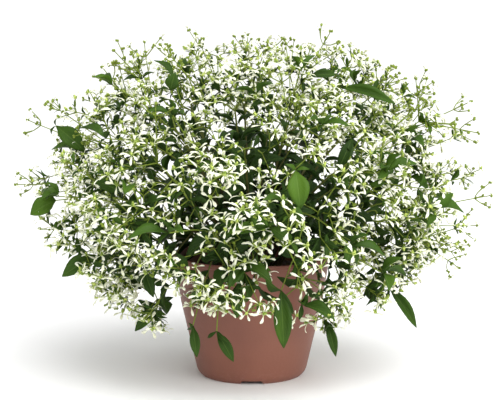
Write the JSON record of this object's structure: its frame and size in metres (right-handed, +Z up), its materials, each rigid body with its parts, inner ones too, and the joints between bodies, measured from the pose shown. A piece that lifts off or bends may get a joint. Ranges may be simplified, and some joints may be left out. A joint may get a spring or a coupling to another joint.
{
  "type": "potted flowering plant",
  "caption": "Potted euphorbia hypericifolia: a wide airy mound of forked leafy stems with small white-bracted flowers in a terracotta-coloured plastic pot.",
  "frame": {"origin": "on the pot's axis, in the plane that the pot's foot stands on, at the centre of the bottom of the bounding box", "axes": "+Z up along the pot's axis; -Y is the front that the picture shows; +X is to the right there"},
  "size_m": [0.3964, 0.3812, 0.2872],
  "materials": {
    "pot_plastic": "satin",
    "potting_soil": "matte",
    "leaf_green": "matte",
    "flower_white": "matte"
  },
  "bodies": {
    "root": {"pot": "pot_plastic", "soil": "potting_soil", "leafy_stem_01": "leaf_green", "leafy_stem_02": "leaf_green", "leafy_stem_03": "leaf_green", "leafy_stem_04": "leaf_green", "leafy_stem_05": "leaf_green", "leafy_stem_06": "leaf_green", "leafy_stem_07": "leaf_green", "leafy_stem_08": "leaf_green", "leafy_stem_09": "leaf_green", "leafy_stem_10": "leaf_green", "leafy_stem_11": "leaf_green", "leafy_stem_12": "leaf_green", "leafy_stem_13": "leaf_green", "leafy_stem_14": "leaf_green", "leafy_stem_15": "leaf_green", "leafy_stem_16": "leaf_green", "leafy_stem_17": "leaf_green", "leafy_stem_18": "leaf_green", "leafy_stem_19": "leaf_green", "leafy_stem_20": "leaf_green", "leafy_stem_21": "leaf_green", "leafy_stem_22": "leaf_green", "leafy_stem_23": "leaf_green", "leafy_stem_24": "leaf_green", "leafy_stem_25": "leaf_green", "leafy_stem_26": "leaf_green", "flower_spray_01": "flower_white", "flower_spray_02": "flower_white", "flower_spray_03": "flower_white", "flower_spray_04": "flower_white", "flower_spray_05": "flower_white", "flower_spray_06": "flower_white", "flower_spray_07": "flower_white", "flower_spray_08": "flower_white", "flower_spray_09": "flower_white", "flower_spray_10": "flower_white", "flower_spray_11": "flower_white", "flower_spray_12": "flower_white", "flower_spray_13": "flower_white", "flower_spray_14": "flower_white", "flower_spray_15": "flower_white", "flower_spray_16": "flower_white", "flower_spray_17": "flower_white", "flower_spray_18": "flower_white", "flower_spray_19": "flower_white", "flower_spray_20": "flower_white", "flower_spray_21": "flower_white", "flower_spray_22": "flower_white", "flower_spray_23": "flower_white", "flower_spray_24": "flower_white", "flower_spray_25": "flower_white", "flower_spray_26": "flower_white"}
  },
  "joints": []
}
